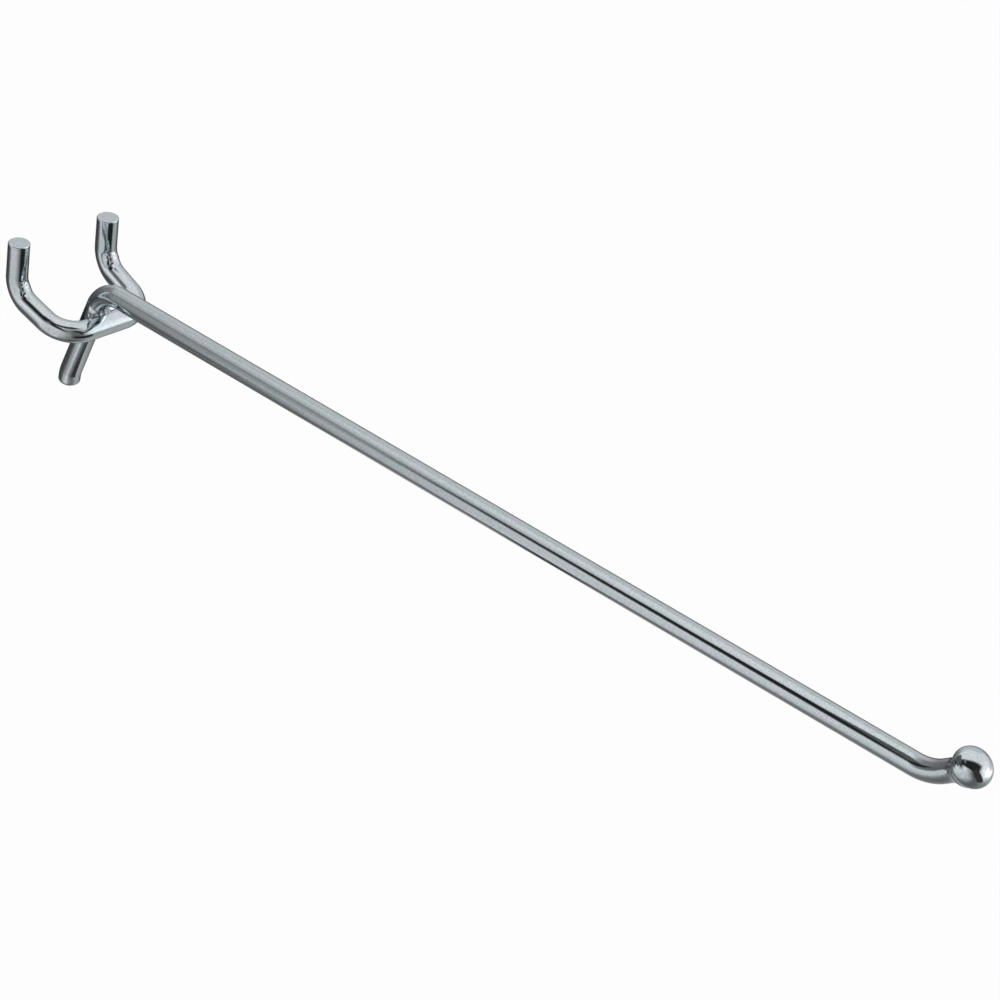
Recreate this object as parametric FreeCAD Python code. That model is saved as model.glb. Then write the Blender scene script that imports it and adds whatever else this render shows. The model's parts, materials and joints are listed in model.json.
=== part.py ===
import FreeCAD, Part
import math
import os

from FreeCAD import Vector

# Wire hook for pegboard: a long arm with a ball at its front end, welded behind the front of a
# U of the same wire, whose two ends turn up as prongs.
# Millimetres and degrees. The origin lies midway between the two prongs, level with the corners
# where they turn up. X runs across the prongs, Y points into the board, Z points up the prongs,
# and the arm reaches out along -Y.

# Wire
wire_diameter = 5.1
tip_chamfer = 0.3

# Cross wire: a U on a slope that falls away from the prongs, with both ends bent up
prong_spacing = 25.4
left_prong_height = 13.0
right_prong_height = 12.0
prong_bend_radius = 5.9
cross_slope_angle = 12.9
cross_depth = 17.3
cross_front_width = 23.4
cross_front_radius = 7.1

# Arm wire: a leg that leans back to the board and ends in a short steeper toe, an elbow, and a
# straight arm that rises a little
leg_lean_angle = 20.5
leg_length = 28.6
toe_lean_angle = 5.0
toe_length = 2.7
toe_radius = 9.0
elbow_above_cross = 7.6
elbow_radius = 9.0
arm_rise_angle = 4.9
arm_length = 265.1

# Front end: the arm turns up and ends in a ball, upset from the wire and a little flattened
upturn_angle = 31.0
upturn_radius = 16.6
neck_length = 12.9
ball_diameter = 9.0
ball_thickness = 6.2
ball_tilt_angle = 20.0
neck_fillet = 1.3

# Weld: the wires are pressed into each other, which squeezes beads of metal out all round the seam
weld_depth = 1.05
bead_spacing = 1.2
bead_radius = 0.8
bead_swell = 0.08
bead_lift = 0.2

wire_radius = wire_diameter / 2
half_spacing = prong_spacing / 2
across = Vector(1, 0, 0)
up = Vector(0, 0, 1)


def slanted(angle):
    """Unit vector in the YZ plane that points to the front, raised by the angle."""
    turn = math.radians(angle)
    return Vector(0, -math.cos(turn), math.sin(turn))


def rounded_path(points, radii):
    """Straight runs through the points, joined by tangent arcs of the given radii."""
    edges = []
    start = points[0]
    for before, corner, after, radius in zip(points, points[1:], points[2:], radii):
        to_before = (before - corner).normalize()
        to_after = (after - corner).normalize()
        half_angle = to_before.getAngle(to_after) / 2
        reach = radius / math.tan(half_angle)
        arc_start = corner + to_before * reach
        arc_end = corner + to_after * reach
        bisector = (to_before + to_after).normalize()
        middle = corner + bisector * (radius / math.sin(half_angle) - radius)
        edges.append(Part.LineSegment(start, arc_start).toShape())
        edges.append(Part.Arc(arc_start, middle, arc_end).toShape())
        start = arc_end
    edges.append(Part.LineSegment(start, points[-1]).toShape())
    return Part.Wire(edges)


def rod(path):
    """Round wire along the path, as one solid."""
    first = path.Edges[0]
    start = first.valueAt(first.FirstParameter)
    heading = first.tangentAt(first.FirstParameter)
    section = Part.Wire(Part.Circle(start, heading, wire_radius).toShape())
    return Part.Solid(path.makePipeShell([section], True, False))


def trim_end(solid, centre):
    """The solid with the rim of its cut end chamfered, where that end has this centre."""
    circles = [edge for edge in solid.Edges if isinstance(edge.Curve, Part.Circle)]
    rim = [edge for edge in circles if edge.Curve.Center.isEqual(centre, 0.01)]
    return solid.makeChamfer(tip_chamfer, rim)


def cross_front():
    """Middle of the cross wire, where the leg is welded to it."""
    return slanted(-cross_slope_angle) * cross_depth


def prong_wire():
    """The U with its two prongs, cut square at both tips, one of them a little shorter."""
    front = cross_front() + across * (cross_front_width / 2)
    corner = across * half_spacing
    right = [corner + up * right_prong_height, corner, front]
    left = [front - across * cross_front_width, -corner, -corner + up * left_prong_height]
    radii = [prong_bend_radius, cross_front_radius, cross_front_radius, prong_bend_radius]
    solid = rod(rounded_path(right + left, radii))
    for end in (right[0], left[-1]):
        solid = trim_end(solid, end)
    return solid.Solids[0]


def down_leg():
    """Unit vector down the leg, which leans towards the board."""
    return slanted(-90 - leg_lean_angle)


def towards_board():
    """Unit vector square to the leg, on the board's side."""
    return slanted(180 - leg_lean_angle)


def elbow():
    """Corner of the arm wire's centre line, above and behind the cross wire."""
    on_leg = cross_front() + towards_board() * (wire_diameter - weld_depth)
    return on_leg - down_leg() * elbow_above_cross


def nose():
    """Corner of the centre line where the arm turns up."""
    return elbow() + slanted(arm_rise_angle) * arm_length


def ball_centre():
    """Centre of the ball, at the end of the upturned neck."""
    return nose() + slanted(arm_rise_angle + upturn_angle) * neck_length


def ball():
    """Flattened ball: half an ellipse, turned about the ball's own short axis."""
    centre = ball_centre()
    axis = slanted(arm_rise_angle + upturn_angle + ball_tilt_angle)
    rim = centre + across * (ball_diameter / 2)
    pole = centre + axis * (ball_thickness / 2)
    arc = Part.Arc(Part.Ellipse(rim, pole, centre), -math.pi / 2, math.pi / 2).toShape()
    chord = Part.LineSegment(arc.valueAt(arc.LastParameter), arc.valueAt(arc.FirstParameter)).toShape()
    return Part.Face(Part.Wire([arc, chord])).revolve(centre, axis, 360)


def arm_wire():
    """Leg, elbow, arm, upturned neck and ball in one length of wire, pressed onto the cross wire."""
    ankle = elbow() + down_leg() * leg_length
    toe = ankle + slanted(-90 - toe_lean_angle) * toe_length
    points = [toe, ankle, elbow(), nose(), ball_centre()]
    wire = trim_end(rod(rounded_path(points, [toe_radius, elbow_radius, upturn_radius])), toe)
    joined = wire.fuse(ball())
    curves = [edge for edge in joined.Edges
              if not edge.Degenerated and isinstance(edge.Curve, Part.BSplineCurve)]
    neck = [edge for edge in curves
            if edge.BoundBox.Center.distanceToPoint(ball_centre()) < ball_diameter / 2]
    return joined.makeFillet(neck_fillet, neck).cut(prong_wire()).Solids[0]


def weld_bead():
    """Beads of squeezed-out metal all round the seam between the cross wire and the leg."""
    leg_face = wire_radius - weld_depth
    seam_radius = math.sqrt(wire_radius ** 2 - leg_face ** 2)
    bead_count = round(2 * math.pi * seam_radius / bead_spacing)
    beads = []
    for place in range(bead_count):
        turn = 2 * math.pi * place / bead_count
        outward = across * math.sin(turn) - down_leg() * math.cos(turn)
        depth = math.sqrt(wire_radius ** 2 - (seam_radius * math.cos(turn)) ** 2)
        seam = cross_front() + outward * seam_radius + towards_board() * depth
        radius = bead_radius + bead_swell * math.sin(place ** 2)
        beads.append(Part.makeSphere(radius, seam + outward * bead_lift, outward))
    ring = beads[0].fuse(beads[1:])
    return Part.Compound(ring.cut([prong_wire(), arm_wire()]).Solids)


def main():
    """Write one STEP file for each piece."""
    os.makedirs("parts", exist_ok=True)
    for piece in (prong_wire, arm_wire, weld_bead):
        piece().exportStep("parts/" + piece.__name__ + ".step")


main()
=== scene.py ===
import json
import math

import bmesh
import bpy
from mathutils import Matrix, Vector, noise


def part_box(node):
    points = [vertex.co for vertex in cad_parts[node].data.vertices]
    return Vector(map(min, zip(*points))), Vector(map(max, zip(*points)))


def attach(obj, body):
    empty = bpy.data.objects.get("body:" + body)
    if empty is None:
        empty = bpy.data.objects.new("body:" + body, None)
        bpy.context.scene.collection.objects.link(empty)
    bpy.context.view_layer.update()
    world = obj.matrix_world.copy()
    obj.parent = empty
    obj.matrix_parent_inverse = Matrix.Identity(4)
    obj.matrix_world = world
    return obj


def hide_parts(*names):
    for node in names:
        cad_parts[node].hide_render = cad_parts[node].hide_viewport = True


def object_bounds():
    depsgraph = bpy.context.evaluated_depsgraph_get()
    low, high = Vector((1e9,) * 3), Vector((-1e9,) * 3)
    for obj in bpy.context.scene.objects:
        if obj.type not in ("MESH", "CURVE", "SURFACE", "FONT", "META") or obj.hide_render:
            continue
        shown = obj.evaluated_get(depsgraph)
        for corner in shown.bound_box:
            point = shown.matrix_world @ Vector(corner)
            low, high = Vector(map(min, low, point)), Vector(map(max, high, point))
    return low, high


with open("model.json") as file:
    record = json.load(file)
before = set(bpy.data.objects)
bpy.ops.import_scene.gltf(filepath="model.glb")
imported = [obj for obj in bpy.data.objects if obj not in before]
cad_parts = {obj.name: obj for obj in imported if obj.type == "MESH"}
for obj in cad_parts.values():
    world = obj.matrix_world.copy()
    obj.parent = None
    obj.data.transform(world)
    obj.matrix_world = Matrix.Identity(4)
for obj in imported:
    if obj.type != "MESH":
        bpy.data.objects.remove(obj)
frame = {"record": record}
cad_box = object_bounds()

# Camera, in metres and degrees
view_centre = Vector((0.0510, -0.0982, -0.0245))
view_distance = 1.3732
view_azimuth = -44.36
view_elevation = 32.08
view_roll = 6.48
lens_mm = 219.7
sensor_mm = 36.0

# The hook's own sizes, in metres and degrees, as its solids have them
mm = 0.001
pins = {mount["name"]: mount for mount in frame["record"]["mounts"] if mount["kind"] == "pin"}
wire_radius = pins["prong_left"]["dims"]["r_mm"] * mm
half_spacing = pins["prong_right"]["pos_m"][0]
left_prong_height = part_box("prong_wire")[1].z
right_prong_height = 12.0 * mm
prong_bend_radius = 5.9 * mm
cross_slope_angle = 12.9
cross_depth = 17.3 * mm
cross_front_half = 11.7 * mm
cross_front_radius = 7.1 * mm
weld_depth = 1.05 * mm
leg_lean_angle = 20.5
leg_length = 28.6 * mm
toe_lean_angle = 5.0
toe_length = 2.7 * mm
toe_radius = 9.0 * mm
elbow_above_cross = 7.6 * mm
elbow_radius = 9.0 * mm
arm_rise_angle = 4.9
arm_length = 265.1 * mm
upturn_angle = 31.0
upturn_radius = 16.6 * mm
neck_length = 12.9 * mm
ball_radius = 4.5 * mm
ball_half_thickness = 3.1 * mm
ball_tilt_angle = 20.0

# Fine form that the solids leave out or simplify: rounded cut ends, the blend between neck and
# ball, and the ledge that the bending tool has left inside each prong's bend
tip_round = 0.3 * mm
leg_tip_round = 0.9 * mm
neck_blend_above = 2.0 * mm
neck_blend_below = 4.4 * mm
neck_reach = 8.0 * mm
ledge_turn_angle = 27.0
ledge_rise_angle = 14.0
ledge_fade_angle = 34.0
ledge_height = 0.15 * mm
ledge_aim_angle = 15.0
ledge_half_width_angle = 28.0
ledge_edge_angle = 44.0

# Mesh fineness. The rings on a cut face are given as parts of its radius.
around_count = 96
arc_step = 0.12 * mm
cut_face_rings = (0, 0.4, 0.8, 0.95, 0.995)
cut_rim_steps = 14
saddle_steps = 25
neck_steps = 72
dome_steps = 40
search_step = 0.1 * mm
search_halvings = 14
merge_distance = 0.0001 * mm

# Weld. The two beats make the beads' sizes and places uneven.
bead_count = 11
bead_radius = 0.8 * mm
bead_lift = 0.2 * mm
bead_variation = 0.16
bead_size_beat = 2.4
bead_slip_beat = 1.7
bead_unevenness = 0.2 * mm
bead_unevenness_size = 1.1 * mm
bead_fineness = 4
bead_voxel = 0.11 * mm

# Finish. Noise between the low and the high value is spread over a material's whole range.
zinc_colour = (0.71, 0.83, 0.83, 1)
zinc_lilac_colour = (0.84, 0.80, 0.94, 1)
weld_colour = (0.42, 0.46, 0.47, 1)
weld_bright_colour = (0.62, 0.68, 0.69, 1)
zinc_roughness = (0.04, 0.09)
weld_roughness = (0.20, 0.40)
cut_roughness = 0.42
cut_face_radius = 0.94 * wire_radius
streak_width = 0.35 * mm
streak_length = 9.0 * mm
streak_depth = 0.003 * mm
speck_size = 0.4 * mm
speck_depth = 0.005 * mm
speck_dark = 0.76
weld_speck_depth = 0.01 * mm
patch_size = 4.5 * mm
noise_detail = 2
noise_low = 0.3
noise_high = 0.7

# Floor and cloth. Lengths are in metres.
floor_half = 4.0
floor_drop = 0.12
floor_colour = 0.95
floor_glow = 0.96
cloth_lift = 0.005

# Studio. Azimuth 0 is the front, -Y, and 90 is +X. Each panel covers those before it in the list.
# Angles are in degrees, and a level of 1 is white. Most numbers of the panels and cards come from
# a fit to how bright the metal is in the photograph. They were then rounded or changed.
base_level = 0.86
panels = [
    # Grey wall behind, on the right
    {"azimuth": 150, "elevation": 7, "half_width": 51, "half_height": 34, "soft": 8, "level": 0.64},
    # Darker wall behind
    {"azimuth": -165, "elevation": 1, "half_width": 33, "half_height": 34, "soft": 28, "level": 0.24},
    # Dark gap above the window
    {"azimuth": -111, "elevation": 55, "half_width": 26, "half_height": 24, "soft": 28, "level": 0.02},
    # Window on the left
    {"azimuth": -99, "elevation": -12, "half_width": 33, "half_height": 34, "soft": 5, "level": 1.03},
    # Large softbox in front
    {"azimuth": 19, "elevation": 3, "half_width": 32, "half_height": 24, "soft": 71, "level": 1.58},
    # Dark ground all round
    {"azimuth": 31, "elevation": -70, "half_width": 200, "half_height": 37, "soft": 67, "level": 0.15},
    # Lighter ground on the right
    {"azimuth": 64, "elevation": -48, "half_width": 59, "half_height": 37, "soft": 17, "level": 0.47},
    # Dark foot of the wall behind
    {"azimuth": 158, "elevation": -27, "half_width": 80, "half_height": 26, "soft": 46, "level": 0.07},
    # Curtain in the window
    {"azimuth": -80, "elevation": -12, "half_width": 26, "half_height": 38, "soft": 48, "level": 0.66},
    # Shade in front
    {"azimuth": -11, "elevation": 2, "half_width": 30, "half_height": 52, "soft": 54, "level": 0.14},
    # Dark strip on the ground in front
    {"azimuth": 0, "elevation": -66, "half_width": 40, "half_height": 4, "soft": 7, "level": 0.04},
    # Dark patch on the ground, behind on the left
    {"azimuth": -134, "elevation": -33, "half_width": 9, "half_height": 6, "soft": 10, "level": 0.12},
    # Dark strip high up on the left
    {"azimuth": -50, "elevation": 63, "half_width": 72, "half_height": 9, "soft": 12, "level": 0.02},
    # Bright lamp in front, on the right
    {"azimuth": 50, "elevation": 2, "half_width": 12, "half_height": 11, "soft": 7, "level": 2.2},
    # Light patch on the ground on the left
    {"azimuth": -80, "elevation": -47, "half_width": 14, "half_height": 8, "soft": 10, "level": 0.75},
]

# Dark cards near the hook, in metres and degrees. Each faces its azimuth and elevation.
cards = {
    "front_flag": {"centre": (-0.019, -0.371, 0.171), "azimuth": -128, "elevation": -50,
                   "half_width": 0.063, "half_height": 0.094, "soft": 0.032, "level": 0.02},
    "arm_flag": {"centre": (-0.134, -0.1, 0.152), "azimuth": 84, "elevation": 20,
                 "half_width": 0.084, "half_height": 0.104, "soft": 0.05, "level": 0.02},
    "ball_arch": {"centre": (-0.035, -0.247, 0.083), "azimuth": 42, "elevation": -30,
                  "half_width": 0.029, "half_height": 0.028, "soft": 0.009, "level": 0.11},
    "ball_band": {"centre": (0.0, -0.388, 0.048), "azimuth": -138, "elevation": -17,
                  "half_width": 0.033, "half_height": 0.06, "soft": 0.009, "level": 0.04},
    "prong_flag": {"centre": (0.004, -0.106, -0.048), "azimuth": 178, "elevation": 24,
                   "half_width": 0.048, "half_height": 0.022, "soft": 0.024, "level": 0.02},
}

across = Vector((1, 0, 0))
up = Vector((0, 0, 1))


def slanted(angle):
    """Unit vector in the YZ plane that points to the front, raised by the angle."""
    turn = math.radians(angle)
    return Vector((0, -math.cos(turn), math.sin(turn)))


def cross_front():
    """Middle of the cross wire, where the leg is welded to it."""
    return slanted(-cross_slope_angle) * cross_depth


def down_leg():
    """Unit vector down the leg, which leans towards the board."""
    return slanted(-90 - leg_lean_angle)


def towards_board():
    """Unit vector square to the leg, on the board's side."""
    return slanted(180 - leg_lean_angle)


def elbow():
    """Corner of the arm wire's centre line, above and behind the cross wire."""
    on_leg = cross_front() + towards_board() * (2 * wire_radius - weld_depth)
    return on_leg - down_leg() * elbow_above_cross


def nose():
    """Corner of the centre line where the arm turns up."""
    return elbow() + slanted(arm_rise_angle) * arm_length


def along_neck():
    """Unit vector up the neck to the ball."""
    return slanted(arm_rise_angle + upturn_angle)


def ball_centre():
    """Centre of the ball, at the end of the upturned neck."""
    return nose() + along_neck() * neck_length


def centre_line(corners, radii):
    """Close points along straight runs through the corners, joined by tangent arcs."""
    line = [corners[0]]
    for before, corner, after, radius in zip(corners, corners[1:], corners[2:], radii):
        to_before = (before - corner).normalized()
        to_after = (after - corner).normalized()
        half_angle = to_before.angle(to_after) / 2
        bisector = (to_before + to_after).normalized()
        centre = corner + bisector * (radius / math.sin(half_angle))
        start = corner + to_before * (radius / math.tan(half_angle)) - centre
        turn = math.pi - 2 * half_angle
        axis = start.cross(-bisector)
        steps = math.ceil(radius * turn / arc_step)
        for step in range(steps + 1):
            line.append(centre + Matrix.Rotation(turn * step / steps, 3, axis) @ start)
    line.append(corners[-1])
    return line


def sides_of(line, side):
    """Heading at each point of the line, and two unit vectors square to it that don't twist round it."""
    frames = []
    heading = (line[1] - line[0]).normalized()
    side = (side - heading * side.dot(heading)).normalized()
    for before, after in zip([line[0]] + line, line[1:] + [line[-1]]):
        ahead = (after - before).normalized()
        side = heading.rotation_difference(ahead) @ side
        heading = ahead
        frames.append((heading, side, heading.cross(side)))
    return frames


def outward_vectors(side, other):
    """Unit vectors all round a ring."""
    turns = [2 * math.pi * place / around_count for place in range(around_count)]
    return [side * math.cos(turn) + other * math.sin(turn) for turn in turns]


def tip_profile(rounding):
    """Distances back from a cut end, and radii, from the middle of its face round its rounded rim."""
    flat = wire_radius - rounding
    profile = [(0, flat * part) for part in cut_face_rings]
    for step in range(cut_rim_steps + 1):
        turn = math.pi / 2 * step / cut_rim_steps
        profile.append((rounding * (1 - math.cos(turn)), flat + rounding * math.sin(turn)))
    return profile


def cut_end(tip, frame_there, inwards, rounding):
    """Rings of a cut end from the middle of its face. Inwards is 1 where the wire goes on ahead, or -1."""
    heading, side, other = frame_there
    rings = []
    for back, radius in tip_profile(rounding):
        middle = tip + heading * back * inwards
        rings.append([middle + outward * radius for outward in outward_vectors(side, other)])
    return rings


def cut_end_stations(travel, rounding):
    """Travel and radius of each ring of a cut end, from the middle of its face."""
    return [(travel, radius) for _, radius in tip_profile(rounding)]


def capped_sweep(line, side, start_round, end_round, reach):
    """Rings of points, and each ring's travel and radius, with the given rounding at each cut end."""
    frames = sides_of(line, side)
    rings = cut_end(line[0], frames[0], 1, start_round)
    stations = cut_end_stations(0, start_round)
    travel = 0
    for before, point, (_, first, second) in zip(line, line[1:-1], frames[1:-1]):
        travel += (point - before).length
        sides = outward_vectors(first, second)
        rings.append([point + outward * reach(point, outward) for outward in sides])
        stations.append((travel, wire_radius))
    travel += (line[-1] - line[-2]).length
    rings += reversed(cut_end(line[-1], frames[-1], -1, end_round))
    stations += reversed(cut_end_stations(travel, end_round))
    return rings, stations


def new_piece(name, mesh):
    """Object in the scene that takes over the edited mesh."""
    data = bpy.data.meshes.new(name)
    mesh.to_mesh(data)
    mesh.free()
    piece = bpy.data.objects.new(name, data)
    bpy.context.scene.collection.objects.link(piece)
    return piece


def skin(name, rings, grain):
    """Smooth closed mesh over rings of equal count. The first and last ring have shrunk to a point."""
    mesh = bmesh.new()
    layer = mesh.verts.layers.float_vector.new("grain")
    shell = []
    for ring, grain_ring in zip(rings, grain):
        shell.append([mesh.verts.new(point) for point in ring])
        for vert, value in zip(shell[-1], grain_ring):
            vert[layer] = value
    for ring, following in zip(shell, shell[1:]):
        for place in range(around_count):
            beside = (place + 1) % around_count
            corners = (ring[place], ring[beside], following[beside], following[place])
            mesh.faces.new(corners).smooth = True
    bmesh.ops.remove_doubles(mesh, verts=shell[0] + shell[-1], dist=merge_distance)
    bmesh.ops.recalc_face_normals(mesh, faces=mesh.faces)
    return new_piece(name, mesh)


def grain_at(place, travel, radius):
    """Place in the wire as if it were straight: two coordinates across it and one along it."""
    turn = 2 * math.pi * place / around_count
    return Vector((math.cos(turn) * radius, math.sin(turn) * radius, travel))


def finish_piece(name, rings, stations, node):
    """Piece with a skin over the rings, in place of the node's solid. Stations give the grain."""
    grain = [[grain_at(place, *station) for place in range(around_count)] for station in stations]
    piece = skin(name, rings, grain)
    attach(piece, "root")
    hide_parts(node)
    return piece


def smooth_step(value, start, end):
    """0 before the start, smoothly up to 1 at the end."""
    part = min(max((value - start) / (end - start), 0), 1)
    return part * part * (3 - 2 * part)


def ledge_at(point, outward):
    """How far the mark of the bending tool stands out of a prong's bend at this place."""
    bend_height = prong_bend_radius / math.tan(math.radians(90 + cross_slope_angle) / 2)
    inward = Vector((point.x, -prong_bend_radius, bend_height)) - point
    turn = math.degrees(math.atan2(inward.z, -inward.y))
    ledge_end = ledge_turn_angle + ledge_fade_angle
    if not 0 < turn < ledge_end or point.y < -prong_bend_radius:
        return 0
    aim_turn = math.radians(ledge_aim_angle)
    aim = inward.normalized() * math.cos(aim_turn) + across * math.sin(aim_turn)
    away = math.degrees(aim.angle(outward))
    lobe = 1 - smooth_step(away, ledge_half_width_angle, ledge_half_width_angle + ledge_edge_angle)
    half_rise = ledge_rise_angle / 2
    rise = smooth_step(turn, ledge_turn_angle - half_rise, ledge_turn_angle + half_rise)
    fade = 1 - smooth_step(turn, ledge_turn_angle, ledge_end)
    return ledge_height * lobe * rise * fade


def reach_on_prongs(point, outward):
    """Wire's radius, or more where the bending tool has left its mark."""
    return wire_radius + ledge_at(point, outward)


def prong_wire():
    """The U with its two prongs, cut square at both tips, with the bending tool's mark in each bend."""
    front = cross_front() + across * cross_front_half
    mirrored = cross_front() - across * cross_front_half
    corner = across * half_spacing
    right = [corner + up * right_prong_height, corner, front]
    left = [mirrored, -corner, -corner + up * left_prong_height]
    radii = [prong_bend_radius, cross_front_radius, cross_front_radius, prong_bend_radius]
    line = centre_line(right + left, radii)
    rings, stations = capped_sweep(line, across, tip_round, tip_round, reach_on_prongs)
    return finish_piece("prongs", rings, stations, "prong_wire")


def reach_on_leg(point, outward):
    """Wire's radius, or less where the leg is pressed against the cross wire."""
    from_cross = point - cross_front()
    flat = Vector((0, outward.y, outward.z))
    side_on = from_cross.dot(flat)
    room = side_on ** 2 - flat.length_squared * (from_cross.yz.length_squared - wire_radius ** 2)
    if side_on >= 0 or room <= 0:
        return wire_radius
    return min(wire_radius, (-side_on - math.sqrt(room)) / flat.length_squared)


def ball_distance(along, radial):
    """Distance from the flattened ball, close to its surface, and negative inside."""
    scaled = math.hypot(along / ball_half_thickness, radial / ball_radius)
    slope = math.hypot(along / ball_half_thickness ** 2, radial / ball_radius ** 2)
    return scaled * (scaled - 1) / slope if slope else -ball_half_thickness


def neck_blend(along, off_axis):
    """Width of the blend between neck and ball: wider below, and none from the ball's middle on."""
    above = 0.5 + 0.5 * (off_axis.normalized().z if off_axis.length else 0)
    behind = min(max(-along / ball_half_thickness, 0), 1)
    return behind * (neck_blend_below + (neck_blend_above - neck_blend_below) * above)


def body_distance(point):
    """Distance from the ball and its neck, blended into each other, and negative inside."""
    axis = slanted(arm_rise_angle + upturn_angle + ball_tilt_angle)
    from_centre = point - ball_centre()
    along = from_centre.dot(axis)
    ball = ball_distance(along, (from_centre - axis * along).length)
    beyond = from_centre.dot(along_neck())
    off_axis = from_centre - along_neck() * beyond
    neck = max(off_axis.length - wire_radius, beyond)
    blend = neck_blend(along, off_axis)
    if not blend:
        return min(ball, neck)
    nearness = max(blend - abs(ball - neck), 0) / blend
    return min(ball, neck) - nearness * nearness * blend / 4


def reach_of_body(start, outward):
    """How far the surface of the ball or neck lies from a point inside it."""
    outside = 2 * ball_radius
    while body_distance(start + outward * outside) > 0:
        outside -= search_step
    inside = outside
    outside += search_step
    for _ in range(search_halvings):
        middle = (inside + outside) / 2
        if body_distance(start + outward * middle) > 0:
            outside = middle
        else:
            inside = middle
    return inside


def arm_line():
    """Centre line from the leg's end to the ball, with close points where the leg meets the cross wire."""
    ankle = elbow() + down_leg() * leg_length
    toe = ankle + slanted(-90 - toe_lean_angle) * toe_length
    corners = [toe, ankle, elbow(), nose(), ball_centre()]
    line = centre_line(corners, [toe_radius, elbow_radius, upturn_radius])
    saddle = [elbow() + down_leg() * (elbow_above_cross + step * arc_step)
              for step in range(-saddle_steps, saddle_steps + 1)]
    saddle_top = elbow_above_cross - saddle_steps * arc_step
    above = next(place for place, point in enumerate(line)
                 if (point - elbow()).dot(down_leg()) < saddle_top)
    line[above:above] = reversed(saddle)
    return line


def front_end():
    """Rings over the neck up to the ball's middle and fanned out over its front, each with its step."""
    sides = outward_vectors(across, along_neck().cross(across))
    for step in range(neck_steps + 1):
        start = ball_centre() - along_neck() * neck_reach * (1 - step / neck_steps)
        ring = [start + outward * reach_of_body(start, outward) for outward in sides]
        yield neck_reach / neck_steps, ring
    for step in range(1, dome_steps + 1):
        turn = math.pi / 2 * step / dome_steps
        aims = [along_neck() * math.sin(turn) + side * math.cos(turn) for side in sides]
        ring = [ball_centre() + aim * reach_of_body(ball_centre(), aim) for aim in aims]
        yield ball_radius * math.pi / 2 / dome_steps, ring


def arm_wire():
    """Leg, elbow, arm, upturned neck and ball in one length of wire."""
    rings, stations = capped_sweep(arm_line(), across, leg_tip_round, tip_round, reach_on_leg)
    while (rings[-1][0] - ball_centre()).dot(along_neck()) > -neck_reach:
        rings.pop()
        stations.pop()
    travel = stations[-1][0]
    for step, ring in front_end():
        travel += step
        rings.append(ring)
        stations.append((travel, wire_radius))
    return finish_piece("long_arm", rings, stations, "arm_wire")


def bead_spot(place):
    """Where a bead lies on the seam between the cross wire and the leg."""
    leg_face = wire_radius - weld_depth
    seam_radius = math.sqrt(wire_radius ** 2 - leg_face ** 2)
    turn = 2 * math.pi * place / bead_count
    outward = across * math.sin(turn) - down_leg() * math.cos(turn)
    depth = math.sqrt(wire_radius ** 2 - (seam_radius * math.cos(turn)) ** 2)
    seam = cross_front() + outward * seam_radius + towards_board() * depth
    uneven = math.sin(place ** 2 * bead_slip_beat)
    slip = down_leg().cross(across) * bead_radius * bead_variation * uneven
    return Matrix.Translation(seam + outward * bead_lift + slip)


def melt_together(piece):
    """Makes the piece's overlapping balls one closed mesh."""
    remesh = piece.modifiers.new("remesh", "REMESH")
    remesh.mode = "VOXEL"
    remesh.voxel_size = bead_voxel
    depsgraph = bpy.context.evaluated_depsgraph_get()
    joined = bpy.data.meshes.new_from_object(piece.evaluated_get(depsgraph))
    piece.modifiers.clear()
    piece.data = joined


def weld_ring():
    """Uneven beads of squeezed-out metal all round the seam between the cross wire and the leg."""
    mesh = bmesh.new()
    for place in range(bead_count):
        size = 1 + bead_variation * math.sin(place ** 2 * bead_size_beat)
        bmesh.ops.create_icosphere(mesh, subdivisions=bead_fineness, radius=bead_radius * size,
                                   matrix=bead_spot(place))
    piece = new_piece("weld_ring", mesh)
    melt_together(piece)
    for vert in piece.data.vertices:
        vert.co += vert.normal * bead_unevenness * noise.noise(vert.co / bead_unevenness_size)
    for polygon in piece.data.polygons:
        polygon.use_smooth = True
    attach(piece, "root")
    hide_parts("weld_bead")
    return piece


def add_camera():
    """Long lens that looks down on the hook from its front left."""
    camera = bpy.data.cameras.new("camera")
    camera.lens = lens_mm
    camera.sensor_width = sensor_mm
    turn = (Matrix.Rotation(math.radians(view_azimuth), 4, "Z")
            @ Matrix.Rotation(math.radians(90 - view_elevation), 4, "X")
            @ Matrix.Rotation(math.radians(view_roll), 4, "Z"))
    back = turn.to_3x3() @ up
    holder = bpy.data.objects.new("camera", camera)
    holder.matrix_world = Matrix.Translation(view_centre + back * view_distance) @ turn
    bpy.context.scene.collection.objects.link(holder)
    bpy.context.scene.camera = holder


def feed(tree, socket, value):
    """Gives a socket a value or another node's output."""
    if isinstance(value, bpy.types.NodeSocket):
        tree.links.new(value, socket)
    else:
        socket.default_value = value


def calculate(tree, operation, *values):
    """Output of a Math node. Each value is a number or another node's output."""
    node = tree.nodes.new("ShaderNodeMath")
    node.operation = operation
    for socket, value in zip(node.inputs, values):
        feed(tree, socket, value)
    return node.outputs[0]


def add_node(tree, kind, **inputs):
    """New shader node of this kind. Each input is a value or another node's output."""
    node = tree.nodes.new("ShaderNode" + kind)
    for name, value in inputs.items():
        feed(tree, node.inputs[name.replace("_", " ")], value)
    return node


def show(tree, shader):
    """Makes the shader the material's surface."""
    tree.links.new(shader, tree.nodes["Material Output"].inputs["Surface"])


def falloff(tree, distance, half, soft):
    """1 within half of the middle, smoothly down to 0 over the width soft."""
    margin = soft / 2
    node = add_node(tree, "MapRange", Value=distance, From_Min=half + margin, From_Max=half - margin)
    node.interpolation_type = "SMOOTHSTEP"
    return node.outputs["Result"]


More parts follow.
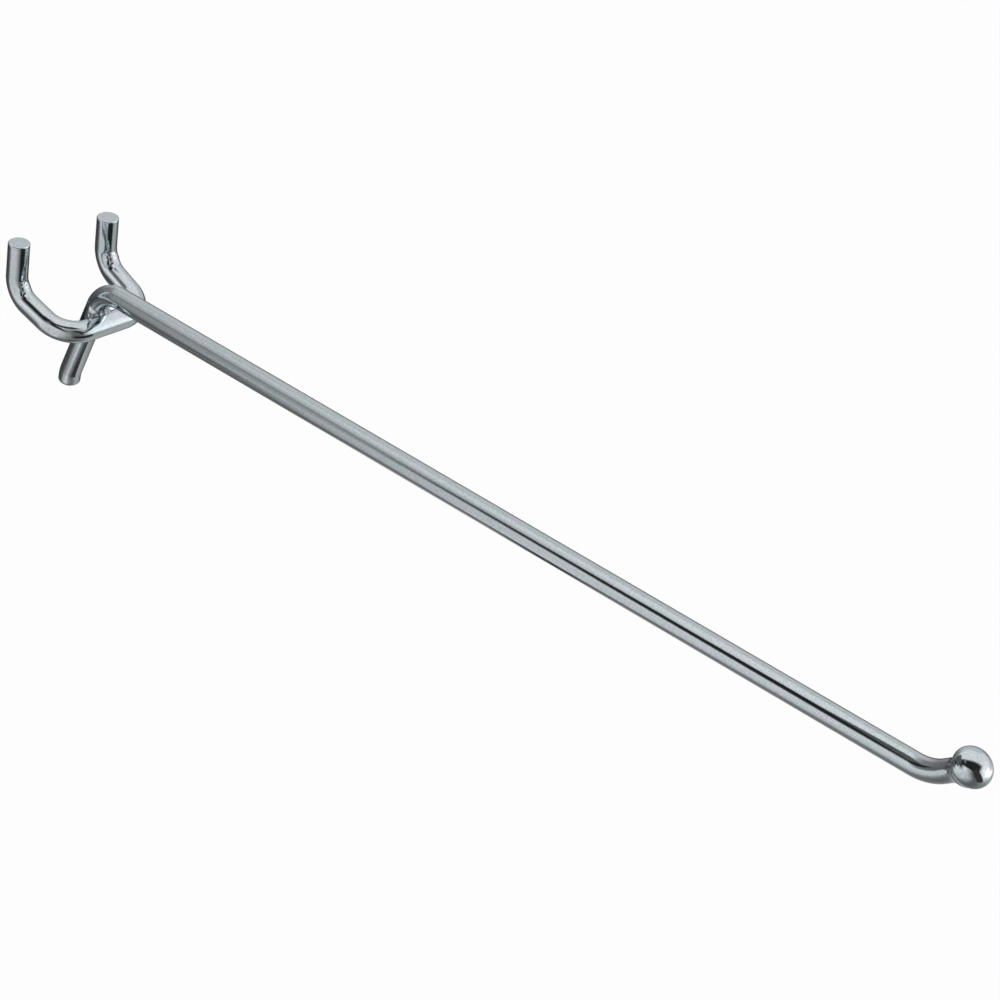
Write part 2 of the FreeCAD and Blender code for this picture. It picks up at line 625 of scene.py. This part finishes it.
def rectangle(tree, x, y, place):
    """1 within the rectangle round 0, with soft edges."""
    wide = falloff(tree, calculate(tree, "ABSOLUTE", x), place["half_width"], place["soft"])
    high = falloff(tree, calculate(tree, "ABSOLUTE", y), place["half_height"], place["soft"])
    return calculate(tree, "MULTIPLY", wide, high)


def studio_level(tree, direction):
    """Brightness of the studio in a direction from the hook, where each panel covers those before it."""
    unit = add_node(tree, "VectorMath", Vector=direction)
    unit.operation = "NORMALIZE"
    x, y, z = add_node(tree, "SeparateXYZ", Vector=unit.outputs["Vector"]).outputs
    front = calculate(tree, "MULTIPLY", y, -1)
    azimuth = calculate(tree, "DEGREES", calculate(tree, "ARCTAN2", x, front))
    elevation = calculate(tree, "DEGREES", calculate(tree, "ARCSINE", z))
    level = base_level
    for place in panels:
        turn = calculate(tree, "SUBTRACT", azimuth, place["azimuth"])
        turn = calculate(tree, "WRAP", turn, 180, -180)
        rise = calculate(tree, "SUBTRACT", elevation, place["elevation"])
        inside = rectangle(tree, turn, rise, place)
        outside = calculate(tree, "SUBTRACT", 1, inside)
        rest = calculate(tree, "MULTIPLY", outside, level)
        level = calculate(tree, "MULTIPLY_ADD", inside, place["level"], rest)
    return level


def add_world():
    """Studio light: a pale room with a softbox, a window and darker parts between them."""
    world = bpy.data.worlds.new("studio")
    bpy.context.scene.world = world
    world.use_nodes = True
    tree = world.node_tree
    direction = add_node(tree, "TexCoord").outputs["Generated"]
    background = tree.nodes["Background"]
    background.inputs["Color"].default_value = (1, 1, 1, 1)
    tree.links.new(studio_level(tree, direction), background.inputs["Strength"])


def stage_plane(name, half_width, half_height, turn):
    """Rectangle that belongs to the studio, and the node tree of its own material."""
    mesh = bpy.data.meshes.new(name)
    signs = ((-1, -1), (1, -1), (1, 1), (-1, 1))
    corners = [(x * half_width, y * half_height, 0) for x, y in signs]
    mesh.from_pydata(corners, [], [(0, 1, 2, 3)])
    plane = bpy.data.objects.new(name, mesh)
    plane.matrix_world = turn
    bpy.context.scene.collection.objects.link(plane)
    material = bpy.data.materials.new(name)
    material.use_nodes = True
    mesh.materials.append(material)
    return plane, material.node_tree


def only_mirrored(plane):
    """Leaves the plane to be seen in the metal alone, like a flag outside the picture."""
    plane.visible_camera = False
    plane.visible_diffuse = False
    plane.visible_shadow = False
    plane.visible_transmission = False


def add_floor():
    """Plain white floor below the hook, which hangs in the air as on its board."""
    height = cad_box[0][2] - floor_drop
    _, tree = stage_plane("floor", floor_half, floor_half, Matrix.Translation((0, 0, height)))
    matt = tree.nodes["Principled BSDF"]
    matt.inputs["Base Color"].default_value = (floor_colour, floor_colour, floor_colour, 1)
    matt.inputs["Roughness"].default_value = 1
    matt.inputs["Specular IOR Level"].default_value = 0
    paths = add_node(tree, "LightPath").outputs
    seen = calculate(tree, "ADD", paths["Is Camera Ray"], paths["Is Glossy Ray"])
    seen = calculate(tree, "ADD", seen, paths["Is Transmission Ray"])
    glow = add_node(tree, "Emission").outputs["Emission"]
    mix = add_node(tree, "MixShader", Fac=calculate(tree, "MULTIPLY", seen, floor_glow))
    tree.links.new(matt.outputs["BSDF"], mix.inputs[1])
    tree.links.new(glow, mix.inputs[2])
    show(tree, mix.outputs["Shader"])


def add_cloth():
    """Cloth just above the floor, which only the metal mirrors. It shows the panels below the horizon."""
    height = cad_box[0][2] - floor_drop + cloth_lift
    cloth, tree = stage_plane("cloth", floor_half, floor_half, Matrix.Translation((0, 0, height)))
    only_mirrored(cloth)
    place = add_node(tree, "NewGeometry").outputs["Position"]
    glow = add_node(tree, "Emission", Strength=studio_level(tree, place))
    show(tree, glow.outputs["Emission"])


def facing_turn(azimuth_angle, elevation_angle):
    """Rotation that turns a plane's front to an azimuth and elevation."""
    azimuth = math.radians(azimuth_angle)
    elevation = math.radians(elevation_angle)
    level = math.cos(elevation)
    side = Vector((math.cos(azimuth), math.sin(azimuth), 0))
    facing = Vector((math.sin(azimuth) * level, -math.cos(azimuth) * level, math.sin(elevation)))
    return Matrix((side, facing.cross(side), facing)).transposed().to_4x4()


def add_card(name, place):
    """Dark card with soft edges, near the hook, which only the metal in front of it mirrors."""
    turn = facing_turn(place["azimuth"], place["elevation"])
    margin = place["soft"] / 2
    card, tree = stage_plane(name, place["half_width"] + margin, place["half_height"] + margin,
                             Matrix.Translation(place["centre"]) @ turn)
    only_mirrored(card)
    on_card = add_node(tree, "TexCoord").outputs["Object"]
    x, y = add_node(tree, "SeparateXYZ", Vector=on_card).outputs[:2]
    front = calculate(tree, "SUBTRACT", 1, add_node(tree, "NewGeometry").outputs["Backfacing"])
    cover = calculate(tree, "MULTIPLY", front, rectangle(tree, x, y, place))
    mix = add_node(tree, "MixShader", Fac=cover)
    tree.links.new(add_node(tree, "BsdfTransparent").outputs["BSDF"], mix.inputs[1])
    glow = add_node(tree, "Emission", Strength=place["level"])
    tree.links.new(glow.outputs["Emission"], mix.inputs[2])
    show(tree, mix.outputs["Shader"])


def noise_at(tree, place, sizes):
    """Noise between 0 and 1 over the place, whose spots measure the three sizes."""
    stretch = add_node(tree, "VectorMath")
    stretch.operation = "MULTIPLY"
    tree.links.new(place, stretch.inputs[0])
    stretch.inputs[1].default_value = [1 / size for size in sizes]
    spots = add_node(tree, "TexNoise", Vector=stretch.outputs["Vector"], Scale=1, Detail=noise_detail)
    return spots.outputs["Fac"]


def spread(tree, value, low, high):
    """Noise, most of which lies near 0.5, spread out from low to high."""
    node = add_node(tree, "MapRange", Value=value, From_Min=noise_low, From_Max=noise_high,
                    To_Min=low, To_Max=high)
    return node.outputs["Result"]


def blend(tree, factor, first, second):
    """Mix of two colours."""
    return add_node(tree, "MixRGB", Fac=factor, Color1=first, Color2=second).outputs["Color"]


def bump(tree, height, depth, **below):
    """Normal of a surface roughened by the height, over the normal below where one is given."""
    node = add_node(tree, "Bump", Height=height, Distance=depth, Strength=1, **below)
    return node.outputs["Normal"]


def metal(name, colour, second_colour, roughness):
    """Bare metal with patches of two colours and dull specks. Also its shader, roughness and specks."""
    material = bpy.data.materials.new(name)
    material.use_nodes = True
    tree = material.node_tree
    shader = tree.nodes["Principled BSDF"]
    shader.inputs["Metallic"].default_value = 1
    place = add_node(tree, "TexCoord").outputs["Object"]
    patches = noise_at(tree, place, (patch_size, patch_size, patch_size))
    specks = noise_at(tree, place, (speck_size, speck_size, speck_size))
    tint = blend(tree, spread(tree, patches, 0, 1), colour, second_colour)
    dull = [part * speck_dark for part in colour[:3]] + [1]
    speckled = blend(tree, spread(tree, specks, 0, 1), tint, dull)
    tree.links.new(speckled, shader.inputs["Base Color"])
    return material, shader, spread(tree, patches, *roughness), specks


def zinc():
    """Bright zinc on drawn wire: streaks along it, specks, faint green and lilac patches, dull cut ends."""
    material, shader, roughness, specks = metal("zinc", zinc_colour, zinc_lilac_colour, zinc_roughness)
    tree = material.node_tree
    grain = add_node(tree, "Attribute")
    grain.attribute_name = "grain"
    x, y = add_node(tree, "SeparateXYZ", Vector=grain.outputs["Vector"]).outputs[:2]
    squares = [calculate(tree, "POWER", side, 2) for side in (x, y)]
    off_axis = calculate(tree, "SQRT", calculate(tree, "ADD", *squares))
    on_cut = calculate(tree, "LESS_THAN", off_axis, cut_face_radius)
    dull = calculate(tree, "MULTIPLY", on_cut, cut_roughness)
    tree.links.new(calculate(tree, "MAXIMUM", roughness, dull), shader.inputs["Roughness"])
    streaks = noise_at(tree, grain.outputs["Vector"], (streak_width, streak_width, streak_length))
    drawn = bump(tree, streaks, streak_depth)
    tree.links.new(bump(tree, specks, speck_depth, Normal=drawn), shader.inputs["Normal"])
    return material


def weld_metal():
    """Zinc over weld metal, duller and rougher than the wire."""
    material, shader, roughness, specks = metal("weld_metal", weld_colour, weld_bright_colour,
                                                weld_roughness)
    tree = material.node_tree
    tree.links.new(roughness, shader.inputs["Roughness"])
    tree.links.new(bump(tree, specks, weld_speck_depth), shader.inputs["Normal"])
    return material


wire_finish = zinc()
for piece in (prong_wire(), arm_wire()):
    piece.data.materials.append(wire_finish)
ring = weld_ring()
ring.data.materials.append(weld_metal())

add_camera()
add_world()
add_floor()
add_cloth()
for name, place in cards.items():
    add_card(name, place)
bpy.context.scene.view_settings.view_transform = "Standard"
